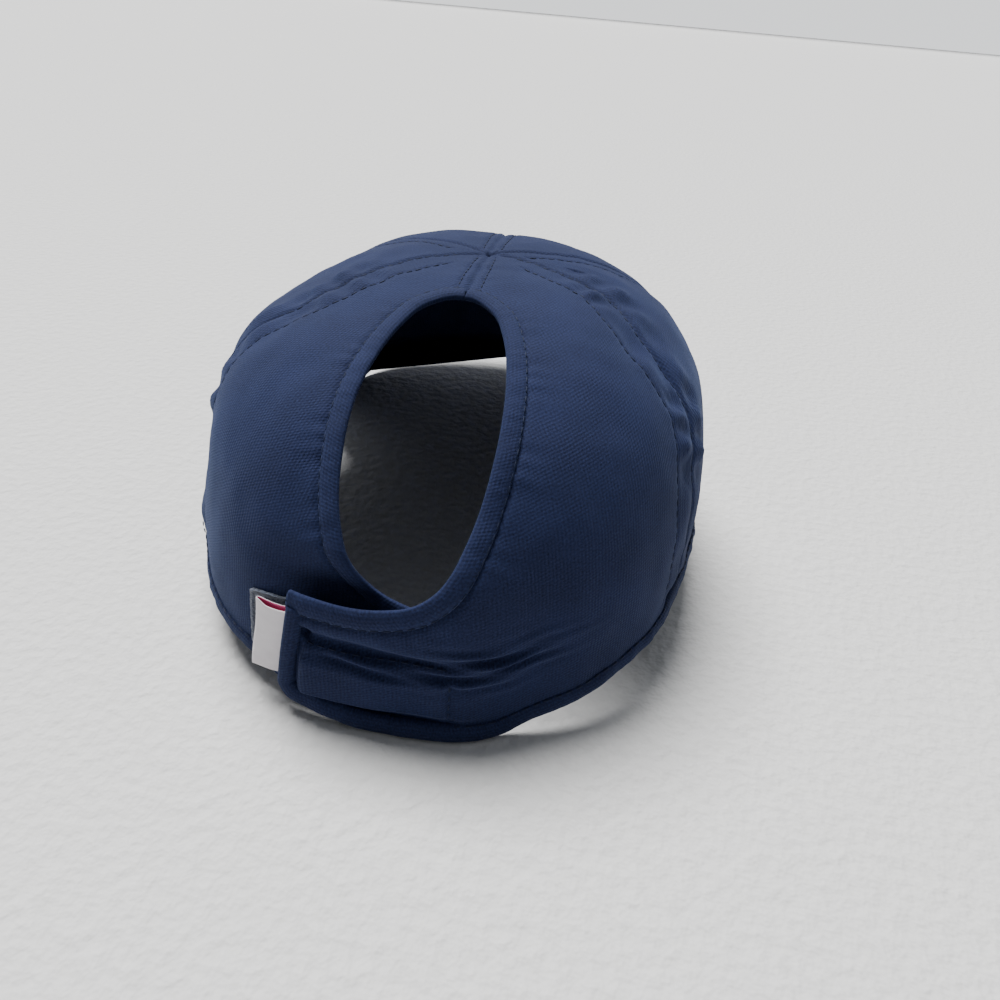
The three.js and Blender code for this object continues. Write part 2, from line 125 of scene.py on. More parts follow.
# Stitching
STITCH = 2.3            # length of one stitch
STITCH_PITCH = 3.2
THREAD = 0.45           # thickness of the thread
TOPSTITCH = 5.2         # beside the centre seams
FRONT_TOPSTITCH = 6.0   # behind the front seams
EDGE_TOPSTITCH = 1.1    # behind the back seams
WIDE_TOPSTITCH = 13.0   # behind the back seams
THREAD_LIFT = 0.12      # middle of the thread over the panels
RIM_THREAD_LIFT = 0.45  # middle of the thread over the cloth at the rim bindings
PATCH_LINE_X = (-15.8, 23.5)    # stitched line round the hook patch
PATCH_LINE_HIGH = (8, 24, 27.8)
THREAD_STEP = 1.2       # between the points that a stitched line is laid through
HEM_THREAD_INSET = 0.25  # stitched line within the inner edge of an opening binding
RIM_THREAD_INSET = 0.3
# Hollows along seams, stitched lines and bindings: depth, half width, height and length of their puckers.
SEAM_HOLLOW = (0.75, 1.1, 0.14, 11)
STITCH_HOLLOW = (0.35, 0.8, 0.10, 8)
HEM_HOLLOW = (0.80, 1.5, 0.20, 7)
LINE_STEP = 0.6         # between a line's points

# Columns: share of the way down, then degrees round from the front for the front seams, the back seam
# on the wearer's left and the back seam on the right.
SEAMS = np.array([
    [0.00, 50, 96, 84],
    [0.09, 53, 101, 89],
    [0.20, 56, 105, 92.5],
    [0.31, 58, 107.5, 95],
    [0.40, 59, 107.5, 101.5],
    [0.50, 60, 105, 103.5],
    [0.60, 61, 104, 104],
    [0.72, 61.5, 107, 108],
    [0.85, 62, 109.5, 110],
    [1.00, 62, 111, 112],
])
CENTRE, FRONT, BACK_LEFT, BACK_RIGHT = 0, 1, 2, 3
# Half of the opening. Columns: share of its length from the top, share of its half width.
OPENING = np.array([
    [0, 0], [0.008, 0.16], [0.03, 0.31], [0.085, 0.53], [0.15, 0.68], [0.26, 0.85], [0.41, 0.975],
    [0.56, 1], [0.72, 0.93], [0.85, 0.76], [0.92, 0.6], [0.965, 0.4], [0.99, 0.2], [1, 0],
])
# Sags and bulges. Columns: degrees round from the front, share of the way down, half spans of both,
# depth as a share of RELIEF, outwards where it is positive.
SAGS = [
    [96, 0.62, 26, 0.13, 1.0],
    [95, 0.93, 22, 0.10, 0.35],
    [85, 0.44, 24, 0.12, -0.55],
    [128, 0.34, 28, 0.10, -0.45],
    [112, 0.75, 8, 0.05, -0.45],
    [-104, 0.95, 18, 0.07, -0.30],
    [-98, 0.58, 16, 0.10, 0.35],
    [-107, 0.50, 5, 0.04, -0.40],
    [-110, 0.42, 6, 0.03, -0.30],
    [112, 0.45, 6, 0.04, -0.30],
    [-60, 0.55, 22, 0.16, 0.45],
    [55, 0.55, 22, 0.16, 0.25],
    [182, 0.94, 26, 0.17, -1.10],
]


# Shape of the crown

def smooth(value, low, high):
    t = np.clip((value - low) / (high - low), 0, 1)
    return t * t * (3 - 2 * t)


def hill(value, at, half_width):
    return np.exp(-((value - at) / half_width) ** 2)


def power(value, exponent):
    return np.sign(value) * np.abs(value) ** exponent


def mix(a, b, t):
    return a + (b - a) * t


def unit(vectors):
    return vectors / np.maximum(np.linalg.norm(vectors, axis=-1, keepdims=True), 1e-12)


def dot(a, b):
    return (a * b).sum(-1)


def lengths_along(points):
    """The length of a line from its start to each of its points."""
    return np.concatenate([[0], np.cumsum(np.linalg.norm(np.diff(points, axis=0), axis=1))])


def length_of(points):
    return lengths_along(points)[-1]


def read_off(at, steps, rows):
    """The rows of a table at places between its steps."""
    return np.stack([np.interp(at, steps, column) for column in rows.T], -1)


def profile_table(steps=400):
    """Angles along the crown's profile against the share of its length."""
    angles = math.pi / 4 * (1 - np.cos(math.pi * np.arange(steps + 1) / steps))
    points = np.stack([
        RIM_HALF_LENGTH * np.sin(angles) ** (2 / CROWN_EXPONENT),
        CROWN_HEIGHT * np.clip(np.cos(angles), 0, 1) ** (2 / CROWN_EXPONENT),
    ], -1)
    lengths = lengths_along(points)
    return lengths / lengths[-1], angles


PROFILE = profile_table()


def crown(azimuth, share):
    """The crown's outer surface, at an azimuth round from the front and a share of the way to the rim."""
    azimuth, share = np.broadcast_arrays(np.asarray(azimuth, float), np.asarray(share, float))
    x = RIM_HALF_WIDTH * power(np.sin(azimuth), 2 / RIM_EXPONENT)
    y = -RIM_HALF_LENGTH * power(np.cos(azimuth), 2 / RIM_EXPONENT)
    forward = np.maximum(0, 1 - y / RIM_HALF_LENGTH - RIM_FLAT)
    z = RIM_RISE * forward ** RIM_RISE_POWER * smooth(forward, 0, RIM_EASE)
    angle = np.interp(np.clip(share, 0, 1), *PROFILE)
    out = np.sin(angle) ** (2 / CROWN_EXPONENT)
    up = np.where(share >= 1, 0, np.clip(np.cos(angle), 0, 1) ** (2 / CROWN_EXPONENT))
    return np.stack([x * out, mix(-APEX_FORWARD, y, out), mix(z, CROWN_HEIGHT, up)], -1)


def axes_at(azimuth, share):
    """Steps along the surface for one radian round and for the whole way down, and the normal."""
    azimuth, share = np.broadcast_arrays(np.asarray(azimuth, float), np.asarray(share, float))
    h = 1e-3
    above, below = np.maximum(share - h, 1e-4), np.minimum(share + h, 1)
    sideways = (crown(azimuth + h, share) - crown(azimuth - h, share)) / (2 * h)
    down = (crown(azimuth, below) - crown(azimuth, above)) / (below - above)[..., None]
    normal = unit(np.cross(down, sideways))
    normal[share < 0.004] = (0, 0, 1)
    at_rim = share > 0.9995
    normal[at_rim, 2] = 0
    return sideways, down, unit(normal)


def sags(azimuth, share):
    depth = 0
    for at, down, span, fall, amount in SAGS:
        turn = (np.degrees(azimuth) - at + 180) % 360 - 180
        depth = depth + amount * RELIEF * hill(turn, 0, span) * hill(share, down, fall)
    return depth * smooth(share, 0, 0.12)


def place(azimuth, share, lift=0):
    """Points at a height above the crown's sagging surface."""
    normal = axes_at(azimuth, share)[2]
    return crown(azimuth, share) + normal * (lift + sags(azimuth, share))[..., None]


def walk(azimuth, share, direction, distance):
    """Surface positions moved by a distance along directions in space."""
    sideways, down, _ = axes_at(azimuth, share)
    a, b, d = dot(sideways, sideways), dot(sideways, down), dot(down, down)
    p, q = dot(sideways, direction) * distance, dot(down, direction) * distance
    det = a * d - b * b
    return azimuth + (p * d - q * b) / det, share + (q * a - p * b) / det


def azimuth_at_x(x, share):
    """The azimuth near the back at which the surface has a given x."""
    x, share = np.broadcast_arrays(np.asarray(x, float), np.asarray(share, float))
    low, high = np.zeros(x.shape), np.full(x.shape, math.pi / 2)
    for _ in range(40):
        middle = (low + high) / 2
        short = crown(math.pi - middle, share)[..., 0] < np.abs(x)
        low, high = np.where(short, middle, low), np.where(short, high, middle)
    return math.pi - np.sign(x) * low


BACK_LENGTH = length_of(crown(math.pi, np.linspace(0, 1, 61)))


def at_x(x, share):
    return np.stack([azimuth_at_x(x, share), np.broadcast_to(share, np.shape(x))], -1)


def rounded(points, count, closed=False):
    """A smooth line through points, at equal steps of its length."""
    points = np.asarray(points, float)
    if closed:
        line = np.concatenate([points[-1:], points, points[:2]])
    else:
        line = np.concatenate([2 * points[:1] - points[1:2], points, 2 * points[-1:] - points[-2:-1]])
    t = np.linspace(0, 1, 24, endpoint=False)[:, None]
    spans = []
    for k in range(1, len(line) - 2):
        p0, p1, p2, p3 = line[k - 1:k + 3]
        spans.append(0.5 * (2 * p1 + (p2 - p0) * t + (2 * p0 - 5 * p1 + 4 * p2 - p3) * t * t
                            + (3 * p1 - p0 - 3 * p2 + p3) * t ** 3))
    fine = np.concatenate(spans + [line[-2:-1]])
    steps = lengths_along(fine)
    at = np.linspace(0, steps[-1], count)
    return read_off(at, steps, fine)


def at_lengths(path, at):
    """Surface positions at given lengths along a path."""
    return read_off(at, lengths_along(crown(*path.T)), path)


def evenly(path, spacing=None, count=None):
    """Surface positions at equal steps along the cloth."""
    total = length_of(crown(*path.T))
    return at_lengths(path, np.linspace(0, total, count or max(2, round(total / spacing) + 1)))


def curve_value(table, key, column):
    """A column of a table between its rows, without corners at them."""
    keys, values = table[:, 0], table[:, column]
    slopes = np.gradient(values, keys)
    k = np.clip(np.searchsorted(keys, key) - 1, 0, len(keys) - 2)
    width = keys[k + 1] - keys[k]
    t = (key - keys[k]) / width
    return ((2 * t ** 3 - 3 * t ** 2 + 1) * values[k] + (t ** 3 - 2 * t ** 2 + t) * width * slopes[k]
            + (3 * t ** 2 - 2 * t ** 3) * values[k + 1] + (t ** 3 - t ** 2) * width * slopes[k + 1])


def seam_azimuth(column, share, sign):
    if column == CENTRE:
        return np.zeros_like(share)
    return sign * np.radians(curve_value(SEAMS, share, column))


def above_rim(azimuth, share=1.0, width=RIM_BINDING - BINDING_OVERLAP):
    """The share of the way down at a height over the rim."""
    return share - width / np.linalg.norm(axes_at(azimuth, share)[1], axis=-1)


def seam_path(column, sign, count=150, whole=False):
    """A seam from the top down to the rim binding. A whole azimuth isn't negative."""
    bottom = above_rim(seam_azimuth(column, np.array(1.0), sign))
    share = np.linspace(TIP_RADIUS / BACK_LENGTH, bottom, count)
    azimuth = seam_azimuth(column, share, sign)
    if whole:
        azimuth = np.where(azimuth < 0, azimuth + 2 * math.pi, azimuth)
    return np.stack([azimuth, share], -1)


def beside(path, distance):
    """A line at a distance from a path along the cloth, towards a larger azimuth where positive."""
    direction = across(path, 1)
    flip = np.sign(dot(direction, axes_at(*path.T)[0]))[:, None]
    return np.stack(walk(*path.T, direction * flip, distance), -1)


def across(path, side):
    """Directions square to a path, along the cloth."""
    along = np.gradient(crown(*path.T), axis=0)
    return unit(np.cross(axes_at(*path.T)[2], along)) * side


# Lift of the closure strap off the crown

def strap_lift(azimuth, share):
    x = crown(azimuth, share)[..., 0]
    start = BAND_END_X - 1 - STRAP_RAMP
    lift = STRAP_LIFT * smooth(x, start, start + STRAP_RAMP) * smooth(share, 0.58, 0.73)
    return np.where(np.cos(azimuth) > 0, 0, lift)


# Edges of the opening, the strap and the rim

STRAP_TOP = (OPENING_TOP + OPENING_LENGTH + STRAP_STEP) / BACK_LENGTH
STRAP_INNER_X = STRAP_END_X - END_BINDING + STRAP_TUCK
CORNER_X = STRAP_END_X - STRAP_CORNER
# An opening edge's run below the opening. Columns: height over the strap's top, x towards the far side.
TURN_UNDER = np.array([[1.6, 0.5], [0.5, 6.0], [0.0, 12.0], [0.0, 20.0]])


def end_x(share):
    """The leaning end of the strap."""
    return STRAP_END_X - STRAP_LEAN * (1 - np.clip((share - STRAP_TOP) / (1 - STRAP_TOP), 0, 1))


def end_raise(x):
    return STRAP_END_RAISE / BACK_LENGTH * smooth(x, 2, STRAP_END_X)


def opening_edge(sign):
    """One side of the opening from its top, then the top edge of the strap or of the band under it."""
    outline = OPENING[:-1] * (OPENING_LENGTH, sign * OPENING_HALF_WIDTH) + (OPENING_TOP, 0)
    reach = end_x(STRAP_TOP) if sign < 0 else -BAND_END_X
    run = TURN_UNDER[TURN_UNDER[:, 1] < reach - 2] * (-1, -sign) + (STRAP_TOP * BACK_LENGTH, 0)
    down, x = rounded(np.concatenate([outline, run, [[STRAP_TOP * BACK_LENGTH, -sign * reach]]]), 400).T
    return evenly(at_x(x, down / BACK_LENGTH), count=260)


def band_raise(x):
    from_x = STRAP_END_X + RIM_BINDING
    return BAND_RAISE / BACK_LENGTH * (1 - smooth(x, from_x, from_x + STRAP_RAMP))


def back_x(azimuth, elsewhere=0):
    """x along the back half of the rim, and another value along its front half."""
    return np.where(np.cos(azimuth) < 0, crown(azimuth, 1.0)[..., 0], elsewhere)


def left_rim():
    """The rim from the band's end under the strap to the centre front."""
    azimuth = np.linspace(azimuth_at_x(BAND_END_X, 1.0), 0, 300)
    return np.stack([azimuth, 1 - band_raise(back_x(azimuth, RIM_HALF_WIDTH))], -1)


def right_rim():
    """The strap's end, its rounded corner and the rim on to the centre front."""
    foot = 1 - end_raise(STRAP_END_X)
    corner_share = foot - STRAP_CORNER / BACK_LENGTH
    top_share = STRAP_TOP + (OPENING_BINDING - BINDING_OVERLAP) / BACK_LENGTH
    share = np.linspace(top_share, corner_share, 24, endpoint=False)
    angle = np.linspace(0, math.pi / 2, 16)
    corner_x = CORNER_X + (end_x(corner_share) - CORNER_X) * np.cos(angle)
    corner = at_x(corner_x, mix(corner_share, 1 - end_raise(corner_x), np.sin(angle)))
    azimuth = np.linspace(azimuth_at_x(CORNER_X, 1.0), 2 * math.pi, 240)[1:]
    rim = np.stack([azimuth, 1 - end_raise(back_x(azimuth))], -1)
    return evenly(np.concatenate([at_x(end_x(share), share), corner, rim]), count=320)


# Seams, stitched lines and what they do to the cloth

LEFT, RIGHT = 1, -1
seam_lines = {
    "centre_front": seam_path(CENTRE, LEFT),
    "front_left": seam_path(FRONT, LEFT),
    "front_right": seam_path(FRONT, RIGHT),
    "back_left": seam_path(BACK_LEFT, LEFT),
    "back_right": seam_path(BACK_RIGHT, RIGHT),
    "centre_back": np.stack([
        np.full(60, math.pi), np.linspace(TIP_RADIUS / BACK_LENGTH, OPENING_TOP / BACK_LENGTH, 60)], -1),
}


# Topstitched lines. Columns: name, seam, distance beside it, share of the way down at the line's start.
TOPSTITCHES = (
    ("centre_front_left", "centre_front", TOPSTITCH, 0.04),
    ("centre_front_right", "centre_front", -TOPSTITCH, 0.04),
    ("centre_back_left", "centre_back", -TOPSTITCH, 0.03),
    ("centre_back_right", "centre_back", TOPSTITCH, 0.03),
    ("front_left", "front_left", FRONT_TOPSTITCH, 0.09),
    ("front_right", "front_right", -FRONT_TOPSTITCH, 0.09),
    ("back_left_edge", "back_left", EDGE_TOPSTITCH, 0.06),
    ("back_right_edge", "back_right", -EDGE_TOPSTITCH, 0.06),
    ("back_left_wide", "back_left", WIDE_TOPSTITCH, 0.10),
    ("back_right_wide", "back_right", -WIDE_TOPSTITCH, 0.10),
)
stitch_lines = {}
for line_name, seam_name, distance, first_share in TOPSTITCHES:
    path = beside(seam_lines[seam_name], distance)
    stitch_lines[line_name] = path[path[:, 1] >= first_share]


class Line:
    """A line on the cloth, kept as close-set points, with the depth and half width of its hollow."""

    def __init__(self, path, depth, half_width, pucker, wave, seam=False):
        self.points = crown(*evenly(path, spacing=LINE_STEP).T).astype(np.float32)
        self.depth, self.half_width, self.pucker, self.wave, self.seam = depth, half_width, pucker, wave, seam

    def nearest(self, points):
        """Distance from each point to the line, and how far along the line it is."""
        both = (points ** 2).sum(1)[:, None] + (self.points ** 2).sum(1)[None]
        squares = both - 2 * points @ self.points.T
        k = squares.argmin(1)
        return np.sqrt(np.maximum(squares[np.arange(len(points)), k], 0)), k * LINE_STEP


HOLLOWS = (
    [Line(path, *SEAM_HOLLOW, seam=True) for path in seam_lines.values()]
    + [Line(path, *STITCH_HOLLOW) for name, path in stitch_lines.items() if "edge" not in name]
)
left_edge, right_edge = opening_edge(LEFT), opening_edge(RIGHT)


def inwards_of(edge, sign, distance):
    """The line at a distance from an edge of the opening, on the cloth."""
    return np.stack(walk(*edge.T, across(edge, -sign), distance), -1)


HEMS = {sign: Line(inwards_of(edge, sign, OPENING_BINDING - HEM_TUCK), *HEM_HOLLOW, seam=True)
        for sign, edge in ((LEFT, left_edge), (RIGHT, right_edge))}
BACK_SEAMS = [Line(seam_lines[name], *SEAM_HOLLOW) for name in ("back_left", "back_right")]


def ripple(along, wave, phase=0.0):
    """An uneven wave along a line."""
    turn = 2 * math.pi / wave
    return (np.sin(turn * along + 2.1 * np.sin(turn * along / 3.7 + phase) + phase)
            + 0.6 * np.sin(turn * along * 0.53 + 1.3 + 2 * phase)) / 1.4


def soft_noise(points, size, seed=0.0):
    return np.array([noise.noise(Vector((p[0] / size + seed, p[1] / size, p[2] / size))) for p in points])


def slack(points):
    """The slow unevenness that the panels and their bindings share."""
    return 0.55 * soft_noise(points, 22)


def cloth_lift(azimuth, share, side=None):
    """Height of the finished cloth above the crown's sagging surface."""
    points = crown(azimuth, share).astype(np.float32)
    lift = slack(points) + 0.28 * soft_noise(points, 9, 5.0)
    to_seam = np.full(len(points), 1e6)
    x = crown(azimuth, share)[:, 0]
    hem = HEMS[side or LEFT if np.median(x) > 0 else RIGHT]
    for k, line in enumerate(HOLLOWS + [hem]):
        away, along = line.nearest(points)
        weight = smooth(share, 0.235, 0.31) if line is hem else 1
        lift -= weight * line.depth * hill(away, 0, line.half_width)
        lift += weight * line.pucker * hill(away, 0, 4 * line.half_width) * ripple(along, line.wave, k)
        if line.seam:
            to_seam = np.minimum(to_seam, away)
    puff = PANEL_PUFF * smooth(share, 0.02, 0.25) * (1 - smooth(share, 0.6, 0.8))
    lift += puff * (1 - hill(to_seam, 0, 14))
    # Gathers between the back seams and the stitched lines beside them
    for k, line in enumerate(BACK_SEAMS):
        away, along = line.nearest(points)
        from_middle = away - WIDE_TOPSTITCH / 2
        behind = smooth(np.abs(np.degrees(azimuth) - 180), 0, 1) * (np.abs(from_middle) < 9)
        middle = hill(from_middle, 0, 4.2) * behind * (np.cos(azimuth) < 0.15)
        lift += middle * (0.3 + 1.2 * ripple(along, 15, 0.7 + k)) * smooth(share, 0.12, 0.3)
    if side == LEFT:
        lift = np.minimum(lift + band_dip(x, share), under_strap(x, share) - 1.7)
    if side == RIGHT:
        lift += strap_folds(x, share)
    return lift


def band_dip(x, share):
    """The left panel dives under the strap beside the opening."""
    return -5.5 * hill(x, 15, 16) * smooth(share, 0.68, 0.77) * (1 - smooth(share, 0.80, 0.97))


def under_strap(x, share):
    """The height that the layers under the strap stay below."""
    below = STRAP_LIFT + np.minimum(0, strap_folds(x, share)) - CLOTH - GAP
    return np.where((x < STRAP_INNER_X + 2) & (share > STRAP_TOP), below, 10)


def strap_folds(x, share):
    """Folds, padding and grooves of the closure strap, worked out from x and the height over the rim."""
    high = (1 - share) * BACK_LENGTH
    # The deep crease under the top binding, the roll below it and a shallower crease
    crease_at = 30.0 - 1.6 * smooth(x, 16, -18)
    lift = -3.0 * hill(high, crease_at, 2.7) * smooth(x, -26, 2)
    lift += 0.7 * hill(high, crease_at - 3.4, 1.3) * hill(x, 6, 9)
    lift -= 0.8 * hill(high, crease_at - 6.0 + 0.10 * x, 1.2) * smooth(x, -14, 2) * (1 - smooth(x, 14, 22))
    # Padding over the hook patch and the stitched line beside it
    patch_x = smooth(x, -16.2, -14.0) * (1 - smooth(x, 22.6, 24.8))
    patch_high = smooth(high, 8.6, 11.0) * (1 - smooth(high, 21.5, 25.5))
    lift += 1.2 * patch_x * patch_high + 0.9 * hill(x, 17, 8) * hill(high, 17, 7)
    lift -= 0.6 * hill(x, -16.4, 1.1) * smooth(high, 5, 9) * (1 - smooth(high, 22, 27))
    # Grooves along the rim binding and the end binding
    lift -= (1.5 + 0.7 * smooth(x, -6, 8)) * hill(high, 7.0, 1.7) * smooth(x, -34, -8)
    beside_end = hill(x, end_x(share) - END_BINDING - 0.3, 1.3)
    lift -= 1.9 * beside_end * (1 - smooth(high, 31, 34)) * smooth(high, 4, 8)
    # Wrinkles where the strap leaves the panel, and slow waves along it
    wrinkles = (0.95 * np.sin(2 * math.pi * (high + 0.06 * x) / 5.2 + 0.9)
                + 0.45 * np.sin(2 * math.pi * (high - 0.10 * x) / 3.4))
    lift += wrinkles * hill(x, -24, 16) * hill(high, 27.5, 6.5)
    lift += 0.55 * np.sin(2 * math.pi * x / 23 + 0.3) * smooth(x, -34, -14) * hill(high, 16, 9)
    return lift


# Meshes

# From the crown's own frame to the shared frame, found from where the CAD's peak is.
SHIFT = np.array([
    500 * (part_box("peak")[0].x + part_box("peak")[1].x),
    1000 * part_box("peak")[0].y + RIM_HALF_LENGTH + BINDING_HEIGHT + 2 * GAP + PEAK_LENGTH,
    0.0,
])


def in_frame(points):
    return (np.asarray(points) + SHIFT) * 0.001


def linked(name, data):
    piece = bpy.data.objects.new(name, data)
    bpy.context.scene.collection.objects.link(piece)
    return piece


def made(name, bm, *materials):
    """An object of a finished mesh."""
    mesh = bpy.data.meshes.new(name)
    bm.to_mesh(mesh)
    bm.free()
    for material in materials:
        mesh.materials.append(material)
    return linked(name, mesh)


def grid_piece(name, rows, columns, shape, weave, materials, closed=False, thickness=0.0):
    """A grid bent to shape(along, around), which gives points, with the cloth's own coordinates as its UV.

    A closed piece is a tube with filled ends. A thick piece has its last material on its inner face.
    """
    bm = bmesh.new()
    uv = bm.loops.layers.uv.new("weave")
    bmesh.ops.create_grid(bm, x_segments=columns, y_segments=rows, size=1)
    bm.verts.ensure_lookup_table()
    flat = np.array([v.co[:2] for v in bm.verts]) / 2 + 0.5
    points = in_frame(shape(flat[:, 1], flat[:, 0]))
    threads = weave(flat[:, 1], flat[:, 0])
    for vert, point in zip(bm.verts, points):
        vert.co = point
    for face in bm.faces:
        face.smooth = True
        for loop in face.loops:
            loop[uv].uv = threads[loop.vert.index]
    if closed:
        bmesh.ops.remove_doubles(bm, verts=bm.verts, dist=2e-6)
        open_edges = [e for e in bm.edges if e.is_boundary]
        bmesh.ops.holes_fill(bm, edges=open_edges, sides=0)
        bmesh.ops.recalc_face_normals(bm, faces=bm.faces)
    piece = made(name, bm, *materials)
    if thickness:
        wall = piece.modifiers.new("wall", "SOLIDIFY")
        wall.thickness = thickness * 0.001
        wall.offset = -1
        wall.material_offset = len(materials) - 1
    return piece


def face_outwards(piece, centre):
    """Turns the faces of an open shell so that they look away from a point inside it."""
    mesh = piece.data
    bm = bmesh.new()
    bm.from_mesh(mesh)
    total = sum((f.calc_center_median() - centre).dot(f.normal) * f.calc_area() for f in bm.faces)
    if total < 0:
        bmesh.ops.reverse_faces(bm, faces=bm.faces)
    bm.to_mesh(mesh)
    bm.free()


INSIDE_CAP = Vector(in_frame([0, 0, 35]))


def bunched(t, amount=0.55):
    """Spreads steps closer together towards both edges."""
    return mix(t, 0.5 - 0.5 * np.cos(math.pi * t), amount)


def between(inner, outer, along, around):
    """Surface positions ruled between two edges with the same number of points."""
    at = along * (len(inner) - 1)
    numbers = np.arange(len(inner))
    return mix(read_off(at, numbers, inner), read_off(at, numbers, outer), bunched(around)[:, None])


TURNS = np.linspace(-math.pi, 2 * math.pi, 901)
RIM_ROUND = lengths_along(crown(TURNS, 1.0))
FALLS = np.array([length_of(crown(turn, np.linspace(0, 1, 40))) for turn in TURNS[::10]])


def weave_coordinates(azimuth, share, middle):
    """Millimetres across and down a panel from its middle line, so that the ribs run down it."""
    spread = np.sin(np.interp(share, *PROFILE)) ** (2 / CROWN_EXPONENT)
    sideways = spread * (np.interp(azimuth, TURNS, RIM_ROUND) - np.interp(middle, TURNS, RIM_ROUND))
    return np.stack([sideways, share * np.interp(azimuth, TURNS[::10], FALLS)], -1)


def no_lift(azimuth, share):
    return 0


def panel(name, node, inner, outer, rows, columns, extra=no_lift, side=None):
    """A sewn panel of the crown between two edges."""
    def shape(along, around):
        azimuth, share = between(inner, outer, along, around).T
        return place(azimuth, share, cloth_lift(azimuth, share, side) + extra(azimuth, share))

    middle = (inner[len(inner) // 2, 0] + outer[len(outer) // 2, 0]) / 2

    def weave(along, around):
        azimuth, share = between(inner, outer, along, around).T
        return weave_coordinates(azimuth, share, middle)

    piece = grid_piece(name, rows, columns, shape, weave, [cap_cloth], thickness=CLOTH)
    face_outwards(piece, INSIDE_CAP)
    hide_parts(node)
    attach(piece, "root")


# A folded binding in section. Columns: share of its width from the edge, height over the cloth.
FOLD = np.array([
    [1.02, -0.45], [0.97, -0.05], [0.93, 0.12], [0.84, 0.38], [0.62, 0.62], [0.36, 0.66], [0.15, 0.42],
    [0.03, -0.05], [0.0, -0.6], [0.03, -1.15], [0.15, -1.6], [0.4, -1.8], [0.8, -1.75], [1.0, -1.5],
    [1.04, -0.95],
])


def binding(name, node, path, width, side, lift=no_lift, plump=1.0):
    """A folded binding along an edge, with its fold on the edge and its width on the cloth beside it."""
    section = rounded(FOLD, 35, closed=True)
    directions = across(path, side)
    numbers = np.arange(len(path))

    def laid(along, around):
        at = along * (len(path) - 1)
        azimuth, share = read_off(at, numbers, path).T
        direction = unit(read_off(at, numbers, directions))
        u, v = read_off(around * (len(section) - 1), np.arange(len(section)), section).T
        wide = width(at) if callable(width) else width
        length = at / (len(path) - 1) * length_of(crown(*path.T))
        return azimuth, share, direction, u * wide, v, length

    def shape(along, around):
        azimuth, share, direction, u, v, length = laid(along, around)
        wobble = 1 + 0.16 * ripple(length, 13, 0.4) + 0.10 * ripple(length, 5.3, 2.0)
        a, s = walk(azimuth, share, direction, u)
        s = np.minimum(s, 1)
        bulge = np.where(v > 0, v * wobble * plump, v)
        return place(a, s, slack(crown(a, s)) + bulge + lift(a, s))

    def weave(along, around):
        _, _, _, u, _, length = laid(along, around)
        return np.stack([u, length], -1)

    piece = grid_piece(name, len(path) - 1, len(section) - 1, shape, weave, [binding_cloth], closed=True)
    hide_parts(node)
    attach(piece, "root")


def stitches(name, lines):
    """Rows of thread. Each line is points and outward directions along it, already at their height."""
    rows = bmesh.new()
    half_sizes = (STITCH / 2 * 0.001, THREAD / 2 * 0.001, THREAD / 2 * 0.001, 1)
    stitch_shape = Matrix.Diagonal(half_sizes) @ Matrix.Rotation(math.pi / 2, 4, "Y")
    for points, normals in lines:
        row = bmesh.new()
        steps = lengths_along(points)
        for start in np.arange(0.4 * STITCH_PITCH, steps[-1] - STITCH_PITCH, STITCH_PITCH):
            ends = read_off([start, start + STITCH], steps, points)
            out = read_off(start + STITCH / 2, steps, normals)
            along = unit(ends[1] - ends[0])
            side = unit(np.cross(out, along))
            out = np.cross(along, side)
            turn = Matrix(np.stack([along, side, out], 1).tolist()).to_4x4()
            centre = Matrix.Translation(in_frame(ends[0] / 2 + ends[1] / 2).tolist())
            bmesh.ops.create_uvsphere(row, u_segments=6, v_segments=5, radius=1,
                                      matrix=centre @ turn @ stitch_shape)
        row_mesh = bpy.data.meshes.new("row")
        row.to_mesh(row_mesh)
        row.free()
        rows.from_mesh(row_mesh)
        bpy.data.meshes.remove(row_mesh)
    for face in rows.faces:
        face.smooth = True
    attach(made(name, rows, navy_thread), "root")


# Materials

def new_material(name):
    material = bpy.data.materials.new(name)
    material.use_nodes = True
    return material, material.node_tree, material.node_tree.nodes["Principled BSDF"]


def feed(tree, node, inputs):
    """Sets a node's inputs, each to a value or to another node's output."""
    for key, value in inputs.items():
        if isinstance(value, bpy.types.NodeSocket):
            tree.links.new(value, node.inputs[key])
        else:
            node.inputs[key].default_value = value


def add(tree, kind, inputs=None, **settings):
    node = tree.nodes.new(kind)
    for key, value in settings.items():
        setattr(node, key, value)
    feed(tree, node, inputs or {})
    return node


def calc(tree, operation, a, b=0.0):
    return add(tree, "ShaderNodeMath", {0: a, 1: b}, operation=operation).outputs[0]


def weighted(tree, *terms, plus=0.0):
    """A number and the outputs of nodes added up, each output with its weight."""
    for value, weight in terms:
        plus = calc(tree, "ADD", calc(tree, "MULTIPLY", value, weight), plus)
    return plus


def mottle(tree, where, scale, detail, roughness=0.5):
    inputs = {"Vector": where, "Scale": scale, "Detail": detail, "Roughness": roughness}
    return add(tree, "ShaderNodeTexNoise", inputs).outputs["Fac"]


def clamped(tree, value):
    return add(tree, "ShaderNodeClamp", {"Value": value}).outputs[0]


def blended(tree, factor, a, b):
    """A colour between two colours."""
    return add(tree, "ShaderNodeMix", {0: factor, 6: (*a, 1), 7: (*b, 1)}, data_type="RGBA").outputs[2]


def bumps(tree, height, distance, strength):
    inputs = {"Height": height, "Distance": distance, "Strength": strength}
    return add(tree, "ShaderNodeBump", inputs).outputs[0]


def weave_of(tree):
    return add(tree, "ShaderNodeUVMap", uv_map="weave").outputs[0]


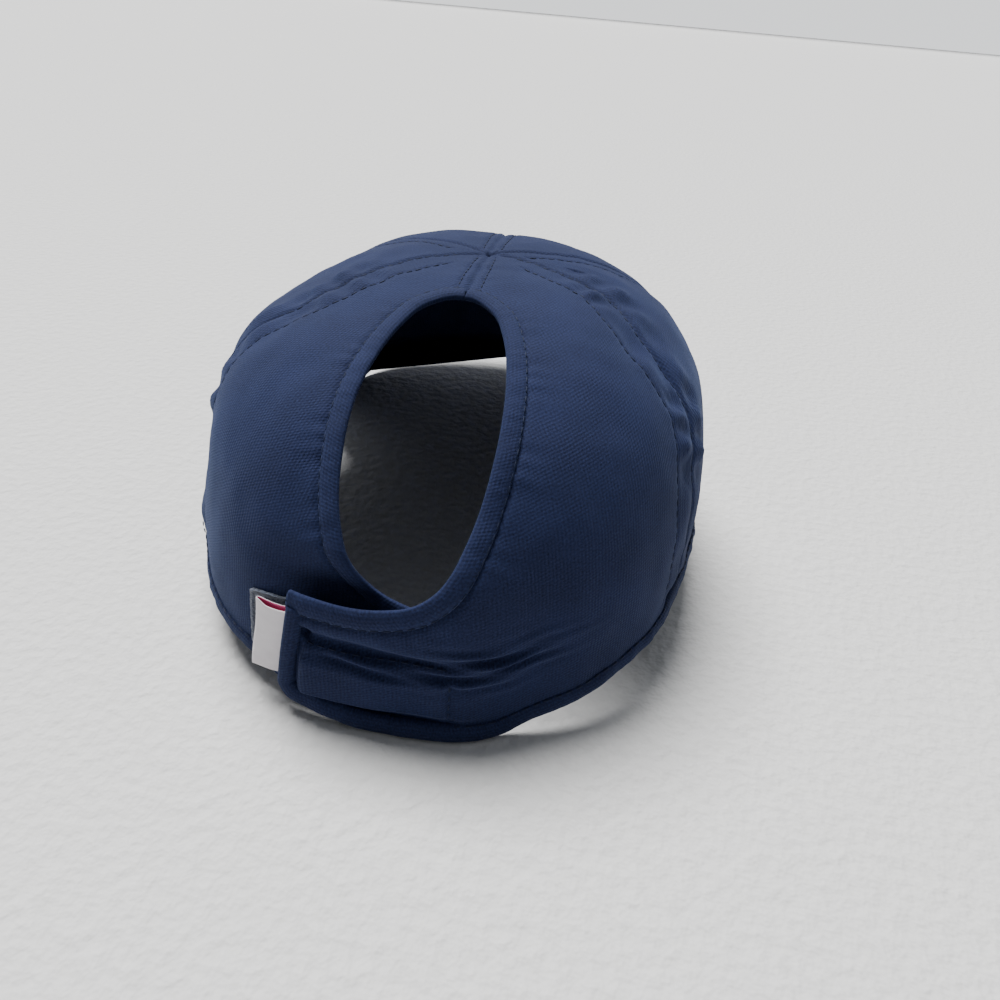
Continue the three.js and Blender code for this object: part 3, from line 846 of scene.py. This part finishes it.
def ribbed_cloth(name, dark, light, rib=1.05):
    """Fine ribs and rows of a sports knit, with heathered yarn and a short nap."""
    material, tree, shader = new_material(name)
    weave = weave_of(tree)
    warp = add(tree, "ShaderNodeTexNoise", {"Vector": weave, "Scale": 0.16, "Detail": 2.0}).outputs["Color"]
    bent = add(tree, "ShaderNodeVectorMath", {0: warp, 1: (-0.5, -0.5, -0.5)}, operation="ADD").outputs[0]
    bent = add(tree, "ShaderNodeVectorMath", {0: bent, "Scale": 0.7}, operation="SCALE").outputs[0]
    laid = add(tree, "ShaderNodeVectorMath", {0: weave, 1: bent}, operation="ADD").outputs[0]
    sideways, down, _ = add(tree, "ShaderNodeSeparateXYZ", {0: laid}).outputs
    ribs = calc(tree, "SINE", calc(tree, "MULTIPLY", sideways, 2 * math.pi / rib))
    rows = calc(tree, "SINE", weighted(tree, (down, 2 * math.pi), (sideways, math.pi / rib)))
    patchy = weighted(tree, (mottle(tree, weave, 0.09, 3.0), 1.3), plus=0.15)
    knit = calc(tree, "MULTIPLY", weighted(tree, (ribs, 0.5), (rows, 0.42)), patchy)
    yarn = mottle(tree, weave, 1.7, 4.0, 0.75)
    nap = mottle(tree, weave, 6.0, 3.0)
    worn = mottle(tree, weave, 0.035, 3.0)
    tone = weighted(tree, (yarn, 2.2), (knit, 0.17), (worn, 0.7), plus=0.5 - 2.2 / 2 - 0.7 / 2)
    feed(tree, shader, {
        "Base Color": blended(tree, clamped(tree, tone), dark, light),
        "Roughness": weighted(tree, (nap, 0.2), plus=0.78),
        "Normal": bumps(tree, weighted(tree, (knit, 1.0), (nap, 0.8)), 0.00007, 0.9),
        "Specular IOR Level": 0.18,
        "Sheen Weight": 0.10,
        "Sheen Roughness": 0.45,
        "Sheen Tint": (0.35, 0.5, 0.95, 1),
    })
    return material


def thread_finish(name, colour):
    """Twisted sewing thread: fine strands and a low sheen."""
    material, tree, shader = new_material(name)
    strands = mottle(tree, add(tree, "ShaderNodeTexCoord").outputs["Object"], 2500.0, 2.0)
    feed(tree, shader, {
        "Base Color": blended(tree, strands, [c * 0.6 for c in colour], [c * 1.4 for c in colour]),
        "Normal": bumps(tree, strands, 0.0001, 0.6),
        "Roughness": 0.6,
        "Specular IOR Level": 0.15,
    })
    return material


def tape_finish(name, dark, light, size):
    """Hook-and-loop tape: a dense mat of loops or hooks."""
    material, tree, shader = new_material(name)
    weave = weave_of(tree)
    mat = add(tree, "ShaderNodeTexVoronoi", {"Vector": weave, "Scale": 1 / size}).outputs["Distance"]
    pile = calc(tree, "ADD", mat, mottle(tree, weave, 4 / size, 4.0))
    feed(tree, shader, {
        "Base Color": blended(tree, clamped(tree, calc(tree, "SUBTRACT", pile, 0.4)), dark, light),
        "Normal": bumps(tree, pile, 0.0006, 1.0),
        "Roughness": 0.95,
        "Specular IOR Level": 0.12,
        "Sheen Weight": 0.4,
        "Sheen Roughness": 0.6,
    })
    return material


def satin(name, dark, light):
    """Woven satin ribbon: long floats across it and a soft shine."""
    material, tree, shader = new_material(name)
    weave = weave_of(tree)
    down = add(tree, "ShaderNodeSeparateXYZ", {0: weave}).outputs[1]
    floats = calc(tree, "SINE", calc(tree, "MULTIPLY", down, 2 * math.pi / 0.32))
    yarn = mottle(tree, weave, 5.0, 2.0)
    stain = weighted(tree, (mottle(tree, weave, 0.22, 3.0), 0.7), (yarn, 0.3))
    feed(tree, shader, {
        "Base Color": blended(tree, stain, dark, light),
        "Normal": bumps(tree, calc(tree, "ADD", floats, yarn), 0.00006, 0.5),
        "Roughness": 0.42,
        "Specular IOR Level": 0.5,
        "Sheen Weight": 0.15,
    })
    return material


def floor_finish(name):
    """Pale matt board with a fine crinkle."""
    material, tree, shader = new_material(name)
    crinkle = mottle(tree, add(tree, "ShaderNodeTexCoord").outputs["Object"], 260.0, 2.0)
    feed(tree, shader, {
        "Base Color": blended(tree, crinkle, (0.64, 0.635, 0.625), (0.73, 0.725, 0.715)),
        "Normal": bumps(tree, crinkle, 0.002, 0.6),
        "Roughness": 0.9,
        "Specular IOR Level": 0.2,
    })
    return material


NAVY_DARK = (0.0036, 0.0058, 0.021)
NAVY_LIGHT = (0.0185, 0.0285, 0.088)
cap_cloth = ribbed_cloth("cap cloth", NAVY_DARK, NAVY_LIGHT)
binding_cloth = ribbed_cloth("binding cloth", (0.0034, 0.0055, 0.020), (0.0175, 0.027, 0.084), rib=1.0)
peak_cloth = ribbed_cloth("peak cloth", NAVY_DARK, NAVY_LIGHT)
navy_thread = thread_finish("navy thread", (0.010, 0.016, 0.042))

# Panels of the crown

SEAM_POINTS = 400
centre_front_down = seam_path(CENTRE, LEFT, SEAM_POINTS)
front_left_down = seam_path(FRONT, LEFT, SEAM_POINTS)
front_right_down = seam_path(FRONT, RIGHT, SEAM_POINTS)
back_left_down = seam_path(BACK_LEFT, LEFT, SEAM_POINTS)
back_right_down = seam_path(BACK_RIGHT, RIGHT, SEAM_POINTS)
panel("front_panel_left_cloth", "front_panel_left", centre_front_down, front_left_down, 150, 96)
panel("front_panel_right_cloth", "front_panel_right", front_right_down, centre_front_down, 150, 96)
panel("side_panel_left_cloth", "side_panel_left", front_left_down, back_left_down, 190, 120)
panel("side_panel_right_cloth", "side_panel_right", back_right_down, front_right_down, 190, 120)


def back_panel_edges(sign, edge, last_x, to_x, rim_share):
    """Inner and outer edge of a back panel: past the opening, and down the seam and along the rim."""
    hem = inwards_of(edge, sign, OPENING_BINDING - PANEL_TUCK)
    x = crown(*hem.T)[:, 0]
    limit = last_x(hem[:, 1])
    beyond = sign * (limit - x) > 0
    hem[beyond] = at_x(limit[beyond], hem[beyond, 1])
    above = np.linspace(TIP_RADIUS / BACK_LENGTH, hem[0, 1] - 0.004, 50)
    centre_back = np.stack([np.full(50, math.pi), above], -1)
    inner = np.concatenate([centre_back, hem])
    down = back_left_down if sign > 0 else seam_path(BACK_RIGHT, RIGHT, SEAM_POINTS, whole=True)
    azimuth = np.linspace(down[-1, 0], azimuth_at_x(to_x, 1.0), 300)[1:]
    outer = np.concatenate([down, np.stack([azimuth, rim_share(azimuth)], -1)])
    # The top of the opening is ruled to a place a little way down the seam, so that no rulings cross.
    corner, reached = length_of(crown(*centre_back.T)), 14
    inner_total, outer_total = length_of(crown(*inner.T)), length_of(crown(*outer.T))
    at = np.linspace(0, inner_total, 400)
    outer_at = np.interp(at, [0, corner, inner_total], [0, reached, outer_total])
    return at_lengths(inner, at), at_lengths(outer, outer_at)


def band_share(azimuth):
    return above_rim(azimuth, 1 - band_raise(crown(azimuth, 1.0)[..., 0]))


def strap_share(azimuth):
    return above_rim(azimuth, 1 - end_raise(back_x(azimuth)))


def band_end_x(share):
    return np.full(np.shape(share), float(BAND_END_X))


def strap_inner_x(share):
    return end_x(share) - END_BINDING + STRAP_TUCK


left_inner, left_outer = back_panel_edges(LEFT, left_edge, band_end_x, BAND_END_X, band_share)
right_inner, right_outer = back_panel_edges(RIGHT, right_edge, strap_inner_x, STRAP_INNER_X, strap_share)
panel("back_panel_left_cloth", "back_panel_left", left_outer, left_inner, 240, 120, side=LEFT)
panel("back_panel_right_cloth", "back_panel_right", right_inner, right_outer, 270, 160, strap_lift, RIGHT)


# Bindings

def band_lift(azimuth, share):
    return band_dip(crown(azimuth, share)[..., 0], share)


left_rim_path, right_rim_path = left_rim(), right_rim()
# Points of the right rim path where its binding starts to widen, is wide, and has stitches.
WIDEN_AT, WIDE_AT, STITCHED_AT = 14, 30, 40


def right_rim_width(at):
    return mix(END_BINDING, RIM_BINDING, smooth(at, WIDEN_AT, WIDE_AT))


binding("opening_binding_left_cloth", "opening_binding_left", left_edge, OPENING_BINDING, -1, band_lift)
binding("opening_binding_right_cloth", "opening_binding_right", right_edge, OPENING_BINDING, 1, strap_lift)
binding("rim_binding_left_cloth", "rim_binding_left", left_rim_path, RIM_BINDING, -1, plump=1.3)
binding("rim_binding_right_cloth", "rim_binding_right", right_rim_path, right_rim_width, 1, strap_lift, 1.5)


# Closure: hook and loop patches, selvage and label

def patch(name, node, from_x, to_x, foot, head, high, thickness, material, rough):
    """A flat piece between a lower and an upper edge, over the crown and under the strap's folds."""
    on_band = high < HOOK_OUTER
    spare = HOOK_OUTER - high if on_band else 0

    def laid(along, around):
        x = mix(from_x, to_x, around)
        return x, *at_x(x, mix(foot(x), head(x), along)).T

    def shape(along, around):
        x, azimuth, share = laid(along, around)
        height = np.minimum(high, under_strap(x, share) - spare)
        if on_band:
            height = height + band_dip(x, share)
        return place(azimuth, share, height + rough * soft_noise(crown(azimuth, share), 1.3))

    def weave(along, around):
        return np.stack([around * (to_x - from_x), along * 20], -1)

    piece = grid_piece(name, 30, round((to_x - from_x) * 1.6), shape, weave, [material], thickness=thickness)
    face_outwards(piece, INSIDE_CAP)
    if node:
        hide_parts(node)
    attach(piece, "root")


def loop_foot(x):
    return above_rim(azimuth_at_x(x, 1.0), 1 - band_raise(x), RIM_BINDING + PATCH_CLEAR)


def loop_head(x):
    """The loop patch's upper edge, rising towards the strap's end and lower again under the strap."""
    rise = 0.5 * np.clip(LOOP_END_X - x, 0, 13.5) - 7 * (1 - smooth(x, 12, 26))
    return loop_foot(x) - (LOOP_HEIGHT + rise) / BACK_LENGTH


def hook_foot(x):
    return above_rim(azimuth_at_x(x, 1.0), 1 - end_raise(x), RIM_BINDING + PATCH_CLEAR)


def hook_head(x):
    return hook_foot(x) - PATCH_HEIGHT / BACK_LENGTH


def selvage_foot(x):
    return loop_head(x) + SELVAGE_WIDTH / BACK_LENGTH


hook_tape = tape_finish("hook tape", (0.004, 0.006, 0.014), (0.02, 0.028, 0.055), 1.2)
loop_tape = tape_finish("loop tape", (0.006, 0.009, 0.02), (0.11, 0.14, 0.20), 0.9)
selvage = tape_finish("loop tape edge", (0.02, 0.03, 0.06), (0.16, 0.19, 0.27), 0.7)
patch("hook_patch_tape", "hook_patch", HOOK_FROM_X, HOOK_FROM_X + HOOK_LENGTH, hook_foot, hook_head,
      HOOK_OUTER, HOOK_THICKNESS, hook_tape, 0.15)
patch("loop_patch_tape", "loop_patch", LOOP_FROM_X, LOOP_END_X, loop_foot, loop_head,
      LOOP_OUTER, LOOP_THICKNESS, loop_tape, 0.25)
patch("loop_patch_top_edge", None, STRAP_INNER_X, LOOP_END_X, selvage_foot, loop_head,
      SELVAGE_OUTER, SELVAGE_THICKNESS, selvage, 0.2)
patch("loop_patch_side_edge", None, LOOP_END_X - SELVAGE_WIDTH, LOOP_END_X, loop_foot, loop_head,
      SELVAGE_OUTER, SELVAGE_THICKNESS, selvage, 0.2)


def folded_label():
    """A blank satin tab, folded over at its free edge and sewn under the strap's end."""
    inner_x, fold_x = STRAP_END_X - LABEL_TUCK, STRAP_END_X + GAP + LABEL_WIDTH
    radius = (LABEL_FRONT - LABEL_BACK) / 2
    straight = fold_x - inner_x - radius
    turn = math.pi * radius

    def laid(around):
        """x, height over the crown and length run of the ribbon: out, round the fold and back."""
        run = around * (2 * straight + turn)
        angle = np.clip((run - straight) / turn, 0, 1) * math.pi
        x = np.minimum(inner_x + run, inner_x + 2 * straight + turn - run)
        x = np.where((run < straight) | (run > straight + turn), x, fold_x - radius + radius * np.sin(angle))
        return x, (LABEL_FRONT + LABEL_BACK) / 2 + radius * np.cos(angle), run

    def shape(along, around):
        x, lift, _ = laid(around)
        top_drop = 1.3 * smooth(lift, LABEL_BACK, LABEL_FRONT) * smooth(fold_x - x, 0.3, 3.0)
        height = LABEL_HEIGHT - top_drop - 0.28 * (fold_x - x)
        high = LABEL_ABOVE_RIM + along * height + LABEL_TILT * (fold_x - x)
        share = 1 - high / BACK_LENGTH
        out = (x - inner_x) / (fold_x - inner_x)
        azimuth, share = at_x(x - mix(STRAP_END_X - end_x(share), LABEL_LEAN * along, out), share).T
        curl = 0.35 * np.sin(2 * math.pi * along * 0.9 + 0.6) + 0.5 * (along - 0.5) ** 2
        return place(azimuth, share, lift + curl * smooth(x, inner_x, fold_x))

    def weave(along, around):
        return np.stack([laid(around)[2], along * LABEL_HEIGHT], -1)

    face = satin("label satin", (0.62, 0.56, 0.60), (0.84, 0.82, 0.84))
    lining = satin("label lining", (0.42, 0.02, 0.12), (0.62, 0.05, 0.20))
    label = grid_piece("label_tab", 36, 48, shape, weave, [face, lining], thickness=LABEL_RIBBON)
    face_outwards(label, sum((v.co for v in label.data.vertices), Vector()) / len(label.data.vertices))
    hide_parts("label")
    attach(label, "root")


folded_label()


# Peak

def peak_reach(azimuth):
    """How far the peak stands out from the crown."""
    return PEAK_LENGTH * (1 - (np.abs(azimuth) / PEAK_SPREAD) ** 2.6) ** 0.75 + GAP


def peak_azimuth(around):
    return mix(-PEAK_SPREAD, PEAK_SPREAD, bunched(around, 0.3))


def peak_shape(around, along):
    """The peak's upper face, its rounded edge and its underside, from root to root."""
    azimuth = peak_azimuth(around)
    root = place(azimuth, np.ones_like(azimuth), 0.3)
    reach = peak_reach(azimuth)
    outwards = np.stack([np.sin(0.45 * azimuth), -np.cos(0.45 * azimuth), np.zeros_like(azimuth)], -1)
    end = root + outwards * reach[:, None]
    arch = PEAK_TIP_HEIGHT * np.maximum(0, 1 - (np.abs(end[:, 0]) / PEAK_REST_HALF_WIDTH) ** 2.2)
    end[:, 2] = np.maximum(arch, root[:, 2] - 0.8 * reach)
    face = np.abs(along - 0.5) * 2
    out = np.clip((1 - face) / PEAK_FLAT, 0, 1)
    points = mix(root, end, out[:, None])
    edge = np.sqrt(np.clip(1 - (np.clip(1 - face - PEAK_FLAT, 0, 1) / (1 - PEAK_FLAT)) ** 2, 0, 1))
    half = PEAK_THICKNESS / 2
    side = np.where(along < 0.5, 1, -1)
    points[:, 2] += PEAK_CAMBER * np.sin(math.pi * out) * reach / PEAK_LENGTH + half + side * half * edge
    rows = sum(hill(out * reach, row, 0.7) for row in PEAK_ROWS)
    points[:, 2] -= 0.35 * rows * side * (reach > 12)
    return points


def peak_weave(around, along):
    points = peak_shape(around, along)
    return np.stack([points[:, 0], points[:, 1] + 400 * (along > 0.5)], -1)


peak = grid_piece("peak_cloth_cover", 110, 180, peak_shape, peak_weave, [peak_cloth], closed=True)
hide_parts("peak")
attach(peak, "root")


# Stitched lines

def thread_line(path, lift, raised=no_lift, side=None):
    azimuth, share = evenly(path, spacing=THREAD_STEP).T
    points = place(azimuth, share, cloth_lift(azimuth, share, side) + lift + raised(azimuth, share))
    return points, axes_at(azimuth, share)[2]


def strap_line(x, high, count):
    """A straight stitched line on the strap. x or the height over the rim is a first and a last value."""
    x, high = (np.linspace(*np.broadcast_to(value, 2), count) for value in (x, high))
    return thread_line(at_x(x, 1 - high / BACK_LENGTH), THREAD_LIFT, strap_lift, RIGHT)


def hem_line(edge, sign, raised):
    """The stitched line along the inner edge of an opening's binding."""
    azimuth, share = evenly(inwards_of(edge, sign, OPENING_BINDING - HEM_THREAD_INSET), spacing=THREAD_STEP).T
    points = place(azimuth, share, slack(crown(azimuth, share)) + 0.1 + raised(azimuth, share))
    return points, axes_at(azimuth, share)[2]


def rim_line(path, side, raised, panel_side, start=0):
    """The stitched line along the inner edge of a rim's binding."""
    inner_edge = np.stack(walk(*path.T, across(path, side), RIM_BINDING - RIM_THREAD_INSET), -1)
    return thread_line(inner_edge[start:], RIM_THREAD_LIFT, raised, panel_side)


def peak_row(distance):
    """A stitched row of the peak, alongside the crown at a distance from it."""
    azimuth = np.linspace(-0.93, 0.93, 120) * PEAK_SPREAD
    azimuth = azimuth[peak_reach(azimuth) > distance + PEAK_ROW_END]
    sweep = np.linspace(0, 1, 2001)
    around = np.interp(azimuth, peak_azimuth(sweep), sweep)
    points = peak_shape(around, 0.5 * PEAK_FLAT * distance / peak_reach(azimuth))
    return points + (0, 0, 0.15), np.tile([0.0, 0.0, 1.0], (len(points), 1))


stitches("crown_stitches", [thread_line(path, THREAD_LIFT) for path in stitch_lines.values()])
stitches("hem_stitches", [hem_line(left_edge, LEFT, band_lift), hem_line(right_edge, RIGHT, strap_lift)])
stitches("rim_stitches", [
    rim_line(right_rim_path, 1, strap_lift, RIGHT, STITCHED_AT),
    rim_line(left_rim_path, -1, no_lift, LEFT),
])
stitches("strap_stitches", [
    strap_line(PATCH_LINE_X, PATCH_LINE_HIGH[2], 30),
    strap_line(PATCH_LINE_X[0], PATCH_LINE_HIGH[:2], 12),
])
stitches("peak_stitches", [peak_row(row) for row in PEAK_ROWS])


# Camera at the photo's angle, light, floor and backdrop

camera_data = bpy.data.cameras.new("camera")
camera_data.lens, camera_data.sensor_width = 30.6, 36
camera_data.clip_start, camera_data.clip_end = 0.01, 200
camera = linked("camera", camera_data)
CAMERA_AT = (-42.988, 253.325, 174.869)
CAMERA_RIGHT = (-0.98414291, -0.1613626, 0.0736536)
CAMERA_UP = (0.14715074, -0.51086696, 0.84697202)
CAMERA_FORWARD = (0.09904241, -0.84437969, -0.52651072)
camera.matrix_world = Matrix.Translation(in_frame(CAMERA_AT).tolist()) @ Matrix(
    np.stack([CAMERA_RIGHT, CAMERA_UP, -np.array(CAMERA_FORWARD)], 1).tolist()).to_4x4()
bpy.context.scene.camera = camera


sun = bpy.data.lights.new("key", "SUN")
sun.energy, sun.angle = 7.3, math.radians(35)
key_light = linked("key", sun)
key_light.rotation_mode = "QUATERNION"
key_light.rotation_quaternion = Vector((-0.28, 0.36, -0.90)).to_track_quat("-Z", "Y")


def studio_sky():
    """Soft light from above and from the far side of the cap, and little from behind the camera."""
    world = bpy.data.worlds.new("studio")
    world.use_nodes = True
    tree = world.node_tree
    towards = add(tree, "ShaderNodeSeparateXYZ", {0: add(tree, "ShaderNodeTexCoord").outputs["Generated"]})
    strength = weighted(tree, (towards.outputs[1], -0.22), plus=0.30)
    feed(tree, tree.nodes["Background"], {"Color": (0.90, 0.94, 1.0, 1), "Strength": strength})
    bpy.context.scene.world = world


def studio_sheet(name, segments, matrix, material):
    """A flat sheet of the studio, 10 m square before its matrix."""
    bm = bmesh.new()
    bmesh.ops.create_grid(bm, x_segments=segments, y_segments=segments, size=5, matrix=matrix)
    made(name, bm, material)


def glowing_board(name):
    """A board about as bright as the floor, without any shine."""
    material, tree, shader = new_material(name)
    feed(tree, shader, {
        "Base Color": (0.0, 0.0, 0.0, 1),
        "Specular IOR Level": 0.0,
        "Emission Color": (0.96, 0.98, 1.0, 1),
        "Emission Strength": 1.3,
    })
    return material


studio_sky()
just_under_cap = Matrix.Translation((0, 0, -0.0002))
upright = Matrix.Rotation(math.pi / 2, 4, "X")
low_wall = Matrix.Translation((0, -5, 0.25)) @ upright @ Matrix.Diagonal((1, 0.06, 1, 1))
studio_sheet("floor", 24, just_under_cap, floor_finish("floor"))
studio_sheet("backdrop", 1, low_wall, glowing_board("backdrop"))
